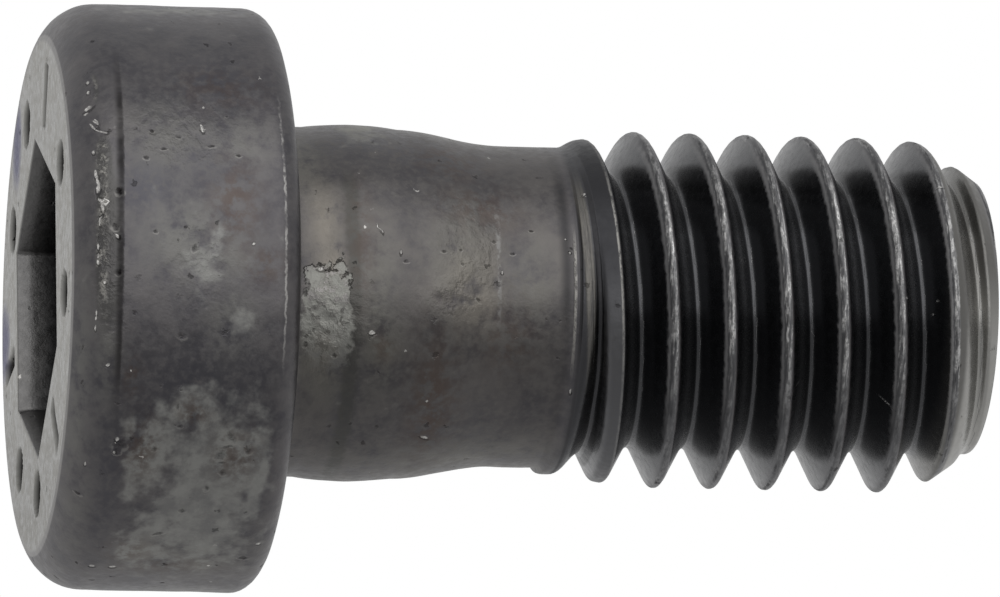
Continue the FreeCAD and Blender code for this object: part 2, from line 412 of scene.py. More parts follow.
# Coat that is still whole, cold in tone and nearly smooth
sleek_spots = [
    (-48, 2.9, 0.9, 1.3, 1.0),
    (-22, 1.5, 0.6, 0.55, 1.0),
    (-27, 2.7, 0.6, 0.5, 0.6),
    (16, 2.5, 0.9, 1.6, 0.9),
    (35, 0.95, 2.4, 0.3, 0.7),
    (34, 4.1, 1.4, 0.3, 0.9),
    (-62, 7.4, 1.4, 2.2, 1.0),
    (50, 9.0, 1.4, 1.6, 0.6),
    (35, 6.3, 1.2, 0.3, 1.0),
    (-8, 9.9, 0.8, 0.5, 0.7),
    (-90, 3.0, 1.6, 1.2, 0.7),
    (140, 9.0, 1.5, 1.2, 0.8),
    (-170, 1.4, 1.6, 0.5, 0.8),
]
# Flaked and bruised steel
rough_spots = [
    (6, 5.85, 1.2, 0.6, 1.0),
    (-10, 0.68, 1.7, 0.3, 1.0),
    (-28, 0.6, 0.6, 0.2, 0.9),
    (-46, 0.5, 0.5, 0.15, 0.8),
    (-20, 8.9, 1.0, 0.8, 0.7),
    (-4, 8.5, 0.5, 0.5, 0.8),
    (-32, 2.3, 1.1, 1.2, 0.8),
    (-11, 2.6, 0.9, 0.7, 0.7),
    (40, 3.0, 2.0, 1.0, 0.4),
    (155, 0.8, 1.6, 0.2, 0.9),
    (150, 6.2, 0.9, 0.4, 0.9),
    (-120, 3.2, 1.2, 0.8, 0.6),
]
# Bare bright steel, where something hard struck
nick_spots = [
    (-48, 0.44, 0.051, 0.032, 0),
    (-45, 0.42, 0.043, 0.028, 0),
    (-41, 0.39, 0.058, 0.083, 20),
    (-36, 0.44, 0.145, 0.022, 25),
    (-37, 0.53, 0.087, 0.019, 30),
    (-34, 0.66, 0.072, 0.032, 50),
    (-30, 0.42, 0.058, 0.026, 0),
    (-25, 0.45, 0.138, 0.032, 8),
    (-22, 0.49, 0.123, 0.041, -5),
    (-18, 0.56, 0.13, 0.035, 5),
    (-19, 0.69, 0.065, 0.032, 0),
    (-15, 0.50, 0.094, 0.019, 0),
    (-12, 0.85, 0.07, 0.035, 30),
    (-10, 0.47, 0.079, 0.022, 0),
    (-7, 0.47, 0.058, 0.028, 0),
    (-3, 0.60, 0.043, 0.032, 0),
    (3, 0.45, 0.071, 0.019, 0),
    (6, 0.44, 0.064, 0.019, 0),
    (13, 0.72, 0.038, 0.051, 30),
    (14, 1.21, 0.035, 0.035, 0),
    (28, 1.03, 0.057, 0.038, -20),
    (31, 1.00, 0.038, 0.032, 0),
    (35, 0.44, 0.057, 0.019, 0),
    (65, 0.97, 0.057, 0.064, 0),
    (65, 1.42, 0.057, 0.07, 0),
    (64, 3.47, 0.045, 0.045, 0),
    (55, 4.41, 0.038, 0.051, 0),
    (-40, 2.82, 0.035, 0.032, 0),
    (-35, 2.74, 0.096, 0.035, 10),
    (-11, 3.76, 0.038, 0.045, 30),
    (-17, 7.35, 0.064, 0.022, 0),
    (9, 6.74, 0.051, 0.07, 0),
    (-11, 5.61, 0.045, 0.07, 0),
    (-25, 6.86, 0.109, 0.019, 5),
    (-24, 6.96, 0.076, 0.016, 5),
    (49, 8.15, 0.038, 0.096, -30),
    (33, 8.08, 0.032, 0.038, 0),
    (-12, 9.60, 0.045, 0.022, 0),
    (-25, 11.01, 0.032, 0.026, 0),
    (-20, 11.10, 0.032, 0.026, 0),
    (30, 11.22, 0.07, 0.022, 0),
    (-48, 19.39, 0.026, 0.07, 10),
    (25, 16.2, 0.022, 0.096, 10),
    (32, 18.2, 0.026, 0.128, -10),
    (-6, 18.42, 0.032, 0.032, 0),
    (-6, 19.23, 0.032, 0.032, 0),
    (-1, 19.16, 0.032, 0.032, 0),
    (130, 0.50, 0.14, 0.032, 5),
    (138, 0.46, 0.089, 0.038, -10),
    (152, 0.60, 0.115, 0.045, 10),
    (-125, 0.48, 0.18, 0.032, 0),
    (-105, 2.1, 0.051, 0.089, 35),
    (172, 3.6, 0.045, 0.045, 0),
    (-150, 6.4, 0.038, 0.115, 15),
    (120, 8.6, 0.076, 0.019, 0),
]
# Pits that hold dirt
pit_spots = [
    (-33, 2.22, 0.054, 0.054, 20),
    (-28, 1.51, 0.054, 0.048, 0),
    (-31, 2.92, 0.041, 0.082, 0),
    (-38, 3.31, 0.034, 0.041, 0),
    (-34, 1.67, 0.041, 0.048, 0),
    (-29, 3.5, 0.034, 0.054, 0),
    (-30, 1.9, 0.034, 0.068, 10),
    (-10, 2.50, 0.082, 0.048, -10),
    (-14, 2.31, 0.041, 0.041, 0),
    (-13, 1.67, 0.048, 0.048, 0),
    (-21, 0.92, 0.095, 0.074, 0),
    (-14, 0.81, 0.082, 0.061, 0),
    (-5, 0.88, 0.068, 0.054, 0),
    (7, 2.26, 0.061, 0.082, 0),
    (15, 1.97, 0.034, 0.034, 0),
    (29, 1.09, 0.13, 0.13, 0),
    (31, 1.04, 0.054, 0.061, 0),
    (21, 2.27, 0.082, 0.034, 0),
    (25, 2.34, 0.041, 0.061, 0),
    (30, 1.84, 0.061, 0.061, 0),
    (31, 3.28, 0.116, 0.102, 0),
    (35, 3.35, 0.074, 0.068, 0),
    (27, 3.45, 0.136, 0.082, 30),
    (30, 3.87, 0.074, 0.061, 0),
    (39, 3.07, 0.074, 0.048, 0),
    (45, 2.63, 0.054, 0.074, 0),
    (52, 2.2, 0.048, 0.109, 20),
    (60, 4.16, 0.074, 0.095, 0),
    (43, 0.38, 0.048, 0.068, 0),
    (-14, 7.46, 0.038, 0.054, 0),
    (11, 5.32, 0.054, 0.048, 0),
    (9, 5.47, 0.048, 0.041, 0),
    (14, 5.31, 0.048, 0.048, 0),
    (17, 5.95, 0.048, 0.054, 0),
    (14, 6.26, 0.082, 0.061, 0),
    (5, 6.06, 0.095, 0.03, -20),
    (-3, 5.28, 0.095, 0.048, 0),
    (-18, 8.30, 0.03, 0.054, 0),
    (-19, 8.68, 0.03, 0.041, 0),
    (-14, 8.72, 0.03, 0.041, 0),
    (-23, 9.44, 0.03, 0.048, 0),
    (-19, 9.85, 0.03, 0.048, 0),
    (-28, 10.28, 0.03, 0.048, 0),
    (-2, 9.08, 0.034, 0.068, -40),
    (110, 3.3, 0.095, 0.082, 0),
    (165, 2.2, 0.068, 0.109, 0),
    (-130, 6.9, 0.068, 0.054, 0),
]
# Coat and scale that came off in one flake: (turn, height, half width, half length)
flake_spots = [
    (4, 5.77, 1.15, 0.56),
    (150, 6.3, 0.8, 0.5),
]
far_off = 3.0
oval_reach = 2.3
flake_squareness = 2.6


def nearest_oval(spots):
    """Where each point lies on its nearest small oval, 1 at the edge: (turn, height, half sizes, lean)."""
    on_oval = np.full((len(points), 3), far_off)
    for turn, spot_height, half_width, half_length, lean in spots:
        across = turn_away(turn) * from_axis
        along = height - spot_height
        away = np.hypot(across, along) / (oval_reach * max(half_width, half_length))
        lean_cos = math.cos(math.radians(lean))
        lean_sin = math.sin(math.radians(lean))
        closer = outer & (away < on_oval[:, 2])
        on_oval[closer, 0] = (across * lean_cos + along * lean_sin)[closer] / half_width
        on_oval[closer, 1] = (along * lean_cos - across * lean_sin)[closer] / half_length
        on_oval[closer, 2] = away[closer]
    return on_oval


def flake_distance(spots):
    """Distance from the middle of the nearest flake, 1 at its four-sided edge, and how far down it is."""
    distance = np.full(len(points), far_off)
    down = np.zeros(len(points))
    for turn, spot_height, half_width, half_length in spots:
        across = turn_away(turn) * from_axis / half_width
        along = (height - spot_height) / half_length
        corners = np.abs(across) ** flake_squareness + np.abs(along) ** flake_squareness
        here = corners ** (1 / flake_squareness)
        closer = outer & (here < distance)
        distance[closer] = here[closer]
        down[closer] = across[closer]
    return distance, down


def store(name, values):
    """Keep one number for each point of the mesh, for the steel to read."""
    layer = screw_mesh.attributes.new(name, "FLOAT", "POINT")
    layer.data.foreach_set("value", np.asarray(values, np.float32))


def store_places(name, places):
    """Keep one place for each point of the mesh."""
    layer = screw_mesh.attributes.new(name, "FLOAT_VECTOR", "POINT")
    layer.data.foreach_set("vector", np.asarray(places, np.float32).ravel())


rough_cover = spread(rough_spots)
below_blank = np.where(outer & (height > waist_end), blank_radius(around, height) - from_axis, 0.0)
in_thread = smooth_step(0.02, 0.15, below_blank)

# The dents and waves are in the skin itself, and weaker in the thread
dent_reach = 0.035
dents_per_mm = 4.0
wave_reach = 0.012
waves_per_mm = 0.9
thread_share = 0.35
smooth_rim = 0.2
inward = np.zeros(len(points))
for number in np.flatnonzero(outer & (height > smooth_rim)):
    spot = Vector(points[number])
    wave = noise.fractal(spot * waves_per_mm, 1.0, 2.0, 3)
    dent = noise.fractal(spot * dents_per_mm, 0.8, 2.1, 3)
    inward[number] = wave_reach * wave + dent_reach * rough_cover[number] * dent
inward *= np.where(height > waist_end, thread_share, 1.0)
points[:, :2] *= (1 - inward / np.maximum(from_axis, 1.0))[:, None]

screw_mesh = bpy.data.meshes.new("cap_screw_skin")
screw_mesh.from_pydata((points * mm).tolist(), [], faces)
screw_mesh.validate()
screw_mesh.shade_smooth()
store("pale", spread(pale_spots))
store("thin", spread(thin_spots))
store("warm", spread(warm_spots))
store("brown", spread(brown_spots))
store("sleek", spread(sleek_spots))
store("rough", rough_cover)
store_places("nick", nearest_oval(nick_spots))
store_places("pit", nearest_oval(pit_spots))
flake_reach, flake_down = flake_distance(flake_spots)
store("flake", flake_reach)
store("flake_down", flake_down)
store("in_thread", in_thread)
store("crest_offset", np.where(outer, thread_offset(around, height), pitch / 2))
store("lead_height", np.where(outer, height - around / (2 * math.pi) * pitch, 0.0))
top_start, top_end = np.radians((-64, -38))
back_start, back_end = np.radians((120, 170))
past_top = smooth_step(top_start, top_end, around)
past_back = smooth_step(back_start, back_end, around)
store("below_top", past_top * (1 - past_back))
# front: how squarely each point faces the lit front; it limits the painted highlights and shade in the
# steel
lit_turn = math.radians(-15)
store("front", np.maximum(np.cos(around - lit_turn), 0.0))
face_edge = face_radius - 0.01
store("face", in_face_rings & (from_axis < face_edge))
store("socket", in_socket_rings)
store("stamped", np.where(in_face_rings, stamp_depth(points[:, 0], points[:, 1]), 0.0))

screw = bpy.data.objects.new("cap_screw_skin", screw_mesh)
bpy.context.scene.collection.objects.link(screw)
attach(screw, "root")
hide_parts("cap_screw")


# The dark steel
# Alloy steel with a thin black phosphate coat, oiled and used. The coat is cloudy, rubbed pale where
# the head was gripped, stained brown in places and broken to bright metal at nicks and crests.
steel = bpy.data.materials.new("dark_phosphated_steel")
steel.use_nodes = True
steel_nodes = steel.node_tree.nodes
steel_links = steel.node_tree.links
steel_shader = steel_nodes["Principled BSDF"]
place = steel_nodes.new("ShaderNodeTexCoord").outputs["Object"]


def feed(socket, value):
    """Link a socket to another one's output, or set it to a plain value."""
    if isinstance(value, bpy.types.NodeSocket):
        steel_links.new(value, socket)
    else:
        socket.default_value = value


def calc(operation, first, second=0.0):
    """One step of arithmetic on two numbers."""
    step = steel_nodes.new("ShaderNodeMath")
    step.operation = operation
    feed(step.inputs[0], first)
    feed(step.inputs[1], second)
    return step.outputs[0]


def chain(operation, values, cap):
    """The same step of arithmetic on several numbers, kept within 0 and 1 at its end if cap is set."""
    result = values[0]
    for value in values[1:]:
        result = calc(operation, result, value)
    result.node.use_clamp = cap
    return result


def times(*values, cap=False):
    """Several shares, multiplied."""
    return chain("MULTIPLY", values, cap)


def plus(*values, cap=False):
    """Several amounts, added."""
    return chain("ADD", values, cap)


def minus(*values):
    """The first amount, less the others."""
    return chain("SUBTRACT", values, False)


def rise(value, low, high, bottom=0.0, top=1.0):
    """From bottom to top, evenly rounded, as value goes from low to high."""
    step = steel_nodes.new("ShaderNodeMapRange")
    step.interpolation_type = "SMOOTHSTEP"
    feed(step.inputs["Value"], value)
    feed(step.inputs["From Min"], low)
    feed(step.inputs["From Max"], high)
    feed(step.inputs["To Min"], bottom)
    feed(step.inputs["To Max"], top)
    return step.outputs["Result"]


def between(value, low, high, edge):
    """1 from low to high, and 0 past them, with soft edges."""
    return times(rise(value, low - edge, low + edge), rise(value, high + edge, high - edge))


def coat(share, under, over, kind="MIX"):
    """One colour laid over another by a share."""
    step = steel_nodes.new("ShaderNodeMix")
    step.data_type = "RGBA"
    step.blend_type = kind
    feed(step.inputs[0], share)
    feed(step.inputs[6], under)
    feed(step.inputs[7], over)
    return step.outputs[2]


def clouds(per_mm, detail, raggedness, stretch=(1, 1, 1)):
    """Soft random clouds, so many to a millimetre."""
    squeezed = steel_nodes.new("ShaderNodeVectorMath")
    squeezed.operation = "MULTIPLY"
    feed(squeezed.inputs[0], place)
    feed(squeezed.inputs[1], stretch)
    field = steel_nodes.new("ShaderNodeTexNoise")
    feed(field.inputs["Vector"], squeezed.outputs[0])
    feed(field.inputs["Scale"], per_mm / mm)
    feed(field.inputs["Detail"], detail)
    feed(field.inputs["Roughness"], raggedness)
    return field.outputs["Fac"]


def stored(name):
    """A number that the mesh keeps for each point."""
    reader = steel_nodes.new("ShaderNodeAttribute")
    reader.attribute_name = name
    return reader.outputs["Fac"]


broad = clouds(0.55, 4.0, 0.6)
patchy = clouds(1.7, 5.0, 0.62)
scallops = clouds(2.4, 2.5, 0.5)
ragged = clouds(3.4, 4.0, 0.62)
fine = clouds(6.0, 4.0, 0.6)
grain = clouds(16.0, 3.0, 0.6)
along_lines = clouds(1.6, 3.0, 0.6, (1.0, 1.0, 0.3))
streaks = clouds(1.6, 5.0, 0.66, (0.8, 0.8, 9.0))
scuffs = clouds(6.0, 4.0, 0.75, (0.8, 0.8, 1.8))

split = steel_nodes.new("ShaderNodeSeparateXYZ")
feed(split.inputs[0], place)
height_mm = times(split.outputs["Z"], 1 / mm)
sideways = times(split.outputs["X"], 1 / mm)
jitter = times(minus(fine, 0.5), 0.12)

face_share = stored("face")
socket_share = stored("socket")
front_share = stored("front")
rough_share = stored("rough")
in_thread_share = stored("in_thread")
not_thread = minus(1.0, in_thread_share)

# Nicks and pits: small ovals whose edges are shaken out of round
shaking = steel_nodes.new("ShaderNodeTexNoise")
feed(shaking.inputs["Vector"], place)
feed(shaking.inputs["Scale"], 9.0 / mm)
feed(shaking.inputs["Detail"], 3.0)
nick_raggedness = 0.6
pit_raggedness = 0.9
out_of_reach = 9.0


def spot_distance(name, raggedness):
    """Distance from the middle of the nearest small oval, 1 at its ragged edge, and how far down it is."""
    reader = steel_nodes.new("ShaderNodeAttribute")
    reader.attribute_name = name
    shaken = steel_nodes.new("ShaderNodeVectorMath")
    shaken.operation = "MULTIPLY_ADD"
    feed(shaken.inputs[0], shaking.outputs["Color"])
    feed(shaken.inputs[1], (2 * raggedness, 2 * raggedness, 0.0))
    feed(shaken.inputs[2], reader.outputs["Vector"])
    flat = steel_nodes.new("ShaderNodeVectorMath")
    flat.operation = "MULTIPLY_ADD"
    feed(flat.inputs[0], shaken.outputs[0])
    feed(flat.inputs[1], (1.0, 1.0, 0.0))
    feed(flat.inputs[2], (-raggedness, -raggedness, 0.0))
    away = steel_nodes.new("ShaderNodeVectorMath")
    away.operation = "LENGTH"
    feed(away.inputs[0], flat.outputs[0])
    reach = steel_nodes.new("ShaderNodeSeparateXYZ")
    feed(reach.inputs[0], reader.outputs["Vector"])
    side = steel_nodes.new("ShaderNodeSeparateXYZ")
    feed(side.inputs[0], flat.outputs[0])
    distance = plus(away.outputs["Value"], rise(reach.outputs["Z"], 0.8, 1.0, 0.0, out_of_reach))
    return distance, side.outputs["X"]


nick_distance, nick_side = spot_distance("nick", nick_raggedness)
nicks = times(rise(nick_distance, 1.15, 0.5), rise(grain, 0.36, 0.6, 0.45, 1.0))
nick_shadow = times(rise(nick_distance, 2.1, 1.4), rise(nick_distance, 0.8, 1.2), rise(nick_side, 0.1, 0.7))
pit_distance, pit_side = spot_distance("pit", pit_raggedness)
pits = times(rise(pit_distance, 1.35, 0.3), rise(grain, 0.62, 0.4, 0.55, 1.0))
# painted highlight: a light rim on one side of each pit
pit_lip_highlight = times(rise(pit_distance, 2.0, 1.5), rise(pit_distance, 1.0, 1.4), rise(pit_side, 0.1, 0.8))

# The flake: bare grey metal with a frosted upper half and a dark broken rim
flake_edge = minus(plus(stored("flake"), times(patchy, 0.9), times(ragged, 0.8)), 0.85)
flake_down = stored("flake_down")
flake = times(
    rise(flake_edge, 1.08, 0.80),
    rise(plus(fine, times(patchy, 0.4)), 0.84, 0.58, 0.35, 1.0),
    rise(flake_down, 0.1, 1.0, 1.0, 0.3),
)
flake_frost = times(rise(flake_edge, 1.0, 0.8), rise(flake_down, -0.1, -0.5), rise(fine, 0.52, 0.60))
flake_rim = times(
    rise(calc("ABSOLUTE", minus(flake_edge, 0.98)), 0.05, 0.01),
    rise(flake_down, -0.2, -0.75),
    rise(fine, 0.40, 0.56, 0.15, 1.0),
)
flake_specks = rise(fine, 0.56, 0.64)

# The coat, rubbed, thinned, stained or whole, each with its own ragged edge
pale_edge = plus(times(minus(scallops, 0.5), 1.3), times(minus(ragged, 0.5), 0.5))
pale_share = times(
    rise(plus(stored("pale"), pale_edge), 0.24, 0.74),
    rise(plus(patchy, times(fine, 0.3)), 0.50, 0.82, 0.5, 1.0),
)
thin_share = times(stored("thin"), rise(plus(patchy, times(fine, 0.4)), 0.48, 0.8), cap=True)
brown_share = times(stored("brown"), rise(ragged, 0.60, 0.42), cap=True)
warm_share = times(stored("warm"), rise(plus(patchy, times(fine, 0.3)), 0.38, 0.68), cap=True)
sleek_share = times(stored("sleek"), rise(fine, 0.75, 0.4), cap=True)

# Flecks: one small speck in some of the cells that the steel is divided into
flecks_per_mm = 2.6
fleck_shake = 0.25 * mm
shaken_place = steel_nodes.new("ShaderNodeVectorMath")
shaken_place.operation = "MULTIPLY_ADD"
feed(shaken_place.inputs[0], shaking.outputs["Color"])
feed(shaken_place.inputs[1], (fleck_shake, fleck_shake, fleck_shake))
feed(shaken_place.inputs[2], place)
flecks = steel_nodes.new("ShaderNodeTexVoronoi")
feed(flecks.inputs["Vector"], shaken_place.outputs[0])
feed(flecks.inputs["Scale"], flecks_per_mm / mm)
fleck_choice = steel_nodes.new("ShaderNodeSeparateColor")
feed(fleck_choice.inputs[0], flecks.outputs["Color"])
fleck_distance = flecks.outputs["Distance"]
fleck_number = fleck_choice.outputs[0]
bright_flecks = times(rise(fleck_distance, 0.12, 0.08), rise(fleck_number, 0.95, 0.97), not_thread)
dark_flecks = times(rise(fleck_distance, 0.20, 0.10), rise(fleck_number, 0.20, 0.14), not_thread)

# Painted lines round the screw, where the blank's surfaces meet or a die left its edge: highlights at the
# face's rim, along the underside's edge and at a seam on the shank, the last two only on the lit front, and
# a band of painted shade below the neck
rim_height = 0.012
under_edge_height = 4.46
shade_height = 6.33
seam_height = 9.55


def ring_line(line_height, half_width, shake_by):
    """A line round the screw at one height, that many millimetres either side, with a shaken edge."""
    off = calc("ABSOLUTE", minus(plus(height_mm, shake_by), line_height))
    return rise(off, half_width, half_width * 0.3)


not_face = minus(1.0, plus(face_share, socket_share, cap=True))
rim_highlight = times(ring_line(rim_height, 0.03, 0.0), not_face)
under_edge_highlight = times(
    ring_line(under_edge_height, 0.035, jitter),
    rise(ragged, 0.36, 0.56, 0.15, 1.0),
    rise(front_share, 0.86, 0.97),
)
# painted shade: a darker band round the shank below the neck, left off its top side
shade_band = times(ring_line(shade_height, 0.24, times(jitter, 2.0)), rise(sideways, -3.1, -2.4, 0.0, 0.62))
seam_highlight = times(ring_line(seam_height, 0.07, jitter), rise(fine, 0.42, 0.6), rise(front_share, 0.9, 0.99))

# The head's soft corner: a battered strip of bare metal, and a dark ring of painted shade where it ends, on
# the front only
strip_start = 0.42
metal_end = 0.64
strip_end = 0.92
corner_bow = times(sideways, sideways, 0.006)
corner_mm = minus(plus(height_mm, times(jitter, 0.4)), corner_bow)
strip = times(rise(rough_share, 0.2, 0.5), between(corner_mm, strip_start, strip_end, 0.05))
strip_mottle = times(
    rise(rough_share, 0.3, 0.7),
    between(corner_mm, strip_start, metal_end, 0.06),
    rise(plus(fine, times(minus(grain, 0.5), 0.4)), 0.44, 0.64),
)
corner_ring_shade = times(
    rise(corner_mm, 0.78, 0.93),
    rise(corner_mm, 1.01, 0.95),
    rise(front_share, 0.74, 0.92),
    rise(along_lines, 0.3, 0.55, 0.5, 1.0),
)

# The face: two faint bluish stains, and a light mottle
stain_places = ((-3.25, 3.75, 1.0, 0.7), (1.1, 5.1, 0.9, 0.9))


def face_stain(x, y, half_x, half_y):
    """A soft oval stain on the head's face."""
    across = times(minus(split.outputs["X"], x * mm), 1 / (half_x * mm))
    along = times(minus(split.outputs["Y"], y * mm), 1 / (half_y * mm))
    away = plus(times(across, across), times(along, along), times(patchy, 1.2))
    return times(rise(away, 2.0, 0.5), face_share)


face_stains = plus(*(face_stain(*stain) for stain in stain_places), cap=True)
face_mottle = rise(plus(times(patchy, 0.6), times(fine, 0.4)), 0.42, 0.58)

# The crests: worn bright, the wear carrying painted highlights and glints on the lit front. The crest band
# and a grey brow before it are painted light, standing in for the light that a blunter crest would catch. A
# seam where the steel folded.
crest_off = plus(stored("crest_offset"), times(jitter, 0.5))
crest_zone = rise(height_mm, 12.35, 12.75)
on_crest = times(rise(crest_off, -0.17, -0.13), rise(crest_off, 0.03, -0.01), crest_zone)
lit_crest_brow = times(between(crest_off, -0.20, -0.09, 0.03), crest_zone, rise(front_share, 0.4, 0.85))
worn_side = rise(plus(crest_off, times(minus(streaks, 0.5), 0.4)), -0.14, -0.06)
lit_front = rise(front_share, 0.72, 0.96, 0.35, 1.0)
crest_wear_and_highlight = times(
    on_crest,
    worn_side,
    lit_front,
    rise(streaks, 0.36, 0.58),
    rise(scuffs, 0.42, 0.58, 0.3, 1.0),
    rise(sideways, 2.6, 1.3, 0.4, 1.0),
)
crest_glints = times(crest_wear_and_highlight, lit_front, rise(grain, 0.56, 0.64))
fold = rise(calc("ABSOLUTE", plus(crest_off, 0.085)), 0.03, 0.012)
fold_seam = times(fold, crest_zone, rise(patchy, 0.46, 0.58))
off_crest = rise(calc("ABSOLUTE", crest_off), 0.12, 0.2)
# painted shade: the thread's flanks near the top edge, off the crests, are painted near black
top_flank_shade = times(between(sideways, -3.12, -2.6, 0.1), off_crest, crest_zone)

# The thread's run-in: lead is the height less the thread's climb, so its lines follow the thread. Its light
# lines are painted highlights and its dark lines painted shade in its grooves, mostly on the lit front.
lip_shade_start, lip_shade_end = 10.92, 11.14
lip_line_start, lip_line_end = 11.175, 11.235
lip_groove_start, lip_groove_end = 11.29, 11.35
light_start, light_end = 11.44, 11.65
thin_dark_start, thin_dark_end = 11.575, 11.595
wide_dark_start, wide_dark_end = 11.69, 11.80
band_start, band_edge, band_end = 11.81, 12.19, 12.24
lead = plus(stored("lead_height"), times(jitter, 0.25))
broken = rise(scuffs, 0.40, 0.54, 0.25, 1.0)
below_top = stored("below_top")
before_crest = rise(height_mm, 12.6, 12.3)
lip_shade = times(
    between(height_mm, lip_shade_start, lip_shade_end, 0.11),
    rise(below_top, 0.0, 1.0, 0.3, 1.0),
    rise(sideways, 0.9, -0.3, 0.2, 1.0),
)
lip_highlight = times(
    between(height_mm, lip_line_start, lip_line_end, 0.015),
    broken,
    rise(front_share, 0.72, 0.96),
    rise(sideways, -1.9, -1.0),
)
run_in_highlight = times(
    between(lead, light_start, light_end, 0.03),
    below_top,
    rise(streaks, 0.3, 0.6, 0.45, 1.0),
    rise(front_share, 0.66, 0.96, 0.1, 1.0),
)
run_in_lines = plus(
    times(between(lead, thin_dark_start, thin_dark_end, 0.012), 0.35),
    times(between(lead, wide_dark_start, wide_dark_end, 0.015), 0.8),
    between(height_mm, lip_groove_start, lip_groove_end, 0.02),
    cap=True,
)
run_in_shade = times(run_in_lines, before_crest, below_top, rise(sideways, 1.6, 0.2, 0.3, 1.0))
first_band = times(between(lead, band_start, band_end, 0.02), before_crest)
first_edge_highlight = times(between(lead, band_edge, band_end, 0.015), before_crest, broken, lit_front)

# Where each part of the screw begins and ends for the coats below, and where painted light and shade fall
# on the chamfer, face and socket
on_shank = times(rise(height_mm, 4.8, 5.3), rise(height_mm, 11.3, 10.9))
on_run_in = times(rise(height_mm, 11.15, 11.4), before_crest)
on_tip = rise(height_mm, 19.3, 19.5)
# painted highlight: the tip's chamfer is lighter towards +X
chamfer_highlight = times(rise(height_mm, 19.8, 19.95), rise(sideways, -1.4, 0.8))
# painted shade: the face is darker towards +X
face_side_shade = rise(sideways, 1.5, 5.0, 0.0, 0.5)
# painted shade: the socket is darker deeper in
deep_socket_shade = rise(height_mm, 0.35, 1.0)

# Dark marks: dirt in pits, specks, the flake's rim, the fold seam and the stamps, with painted shade for
# the corner ring, the nicks' shadows and the run-in's grooves
dirt_and_shade = plus(
    times(pits, 0.5),
    times(flake_rim, 0.6),
    times(corner_ring_shade, 0.72),
    times(flake, flake_specks, 0.5),
    times(dark_flecks, 0.4),
    times(nick_shadow, 0.4),
    times(run_in_shade, 0.5),
    times(fold_seam, 0.3),
    stored("stamped"),
    cap=True,
)
# Light marks: bare metal at nicks and specks, with painted highlights at the face's rim, the underside's
# edge and the crests' glints
bright_metal_and_highlights = plus(
    times(nicks, 0.85),
    times(rim_highlight, 0.25),
    times(under_edge_highlight, 0.4),
    times(crest_glints, 0.5),
    times(bright_flecks, 0.6),
    cap=True,
)

# The colours, laid one over another from the coat up to dirt and painted shade, then bright metal and
# painted highlights
coat_black = (0.076, 0.0735, 0.081, 1)
coat_grey = (0.124, 0.117, 0.119, 1)
band_black = (0.04, 0.04, 0.043, 1)
band_grey = (0.115, 0.115, 0.12, 1)
colour = coat(rise(plus(times(broad, 0.5), times(patchy, 0.5)), 0.35, 0.65), coat_black, coat_grey)
# painted light: the run-in's first band goes from near black to grey towards +X
first_band_colour = coat(rise(sideways, -1.4, 1.1), band_black, band_grey)
for share, over in (
    (times(rise(fine, 0.38, 0.66), 0.42), (0.142, 0.136, 0.137, 1)),
    (times(sleek_share, 0.8), (0.080, 0.079, 0.091, 1)),
    (times(thin_share, 0.7), (0.168, 0.166, 0.155, 1)),
    (times(pale_share, 0.85), (0.29, 0.29, 0.276, 1)),
    (times(warm_share, 0.8), (0.21, 0.195, 0.178, 1)),
    (shade_band, (0.07, 0.07, 0.067, 1)),
):
    colour = coat(share, colour, over)
shank_warmth = (1.01, 1.0, 0.955, 1)
colour = coat(on_shank, colour, shank_warmth, "MULTIPLY")
for share, over in (
    (times(brown_share, 0.6), (0.095, 0.066, 0.052, 1)),
    (times(flake, 0.85), (0.33, 0.33, 0.305, 1)),
    (times(flake_frost, 0.8), (0.46, 0.44, 0.43, 1)),
    (times(strip, 0.75), (0.082, 0.080, 0.078, 1)),
    (times(strip_mottle, 0.8), (0.30, 0.29, 0.27, 1)),
    (times(face_share, 0.9), (0.34, 0.337, 0.32, 1)),
    (times(face_share, face_side_shade), (0.18, 0.178, 0.168, 1)),
    (times(face_stains, 0.75), (0.135, 0.135, 0.185, 1)),
    (socket_share, (0.155, 0.152, 0.150, 1)),
    (times(socket_share, deep_socket_shade), (0.035, 0.035, 0.037, 1)),
    (in_thread_share, (0.075, 0.076, 0.08, 1)),
    (times(top_flank_shade, 0.6), (0.008, 0.008, 0.009, 1)),
    (on_tip, (0.155, 0.152, 0.145, 1)),
    (chamfer_highlight, (0.36, 0.355, 0.34, 1)),
    (on_run_in, (0.062, 0.062, 0.066, 1)),
    (times(lip_shade, 0.7), (0.03, 0.03, 0.032, 1)),
    (times(run_in_highlight, 0.75), (0.165, 0.157, 0.142, 1)),
    (times(lip_highlight, 0.8), (0.33, 0.32, 0.30, 1)),
    (first_band, first_band_colour),
    (lit_crest_brow, (0.26, 0.257, 0.26, 1)),
    (on_crest, (0.10, 0.10, 0.104, 1)),
    (crest_wear_and_highlight, (0.60, 0.595, 0.59, 1)),
    (times(first_edge_highlight, 0.7), (0.36, 0.35, 0.33, 1)),
    (seam_highlight, (0.2, 0.195, 0.19, 1)),
    (times(pit_lip_highlight, 0.3), (0.34, 0.33, 0.31, 1)),
    (dirt_and_shade, (0.012, 0.011, 0.011, 1)),
    (bright_metal_and_highlights, (0.66, 0.645, 0.62, 1)),
):
    colour = coat(share, colour, over)
feed(steel_shader.inputs["Base Color"], colour)

# What the steel reflects at its edges: mottled on the face, bluish at the stains, little at dirt and
# painted shade
full_tint = (1, 1, 1, 1)
mottle_tint = (0.85, 0.84, 0.82, 1)
stain_tint = (0.42, 0.42, 0.6, 1)
dirt_and_shade_tint = (0.1, 0.1, 0.1, 1)
edge_tint = coat(times(face_share, face_mottle), full_tint, mottle_tint)
edge_tint = coat(times(face_stains, 0.75), edge_tint, stain_tint)
edge_tint = coat(dirt_and_shade, edge_tint, dirt_and_shade_tint)
feed(steel_shader.inputs["Specular Tint"], edge_tint)

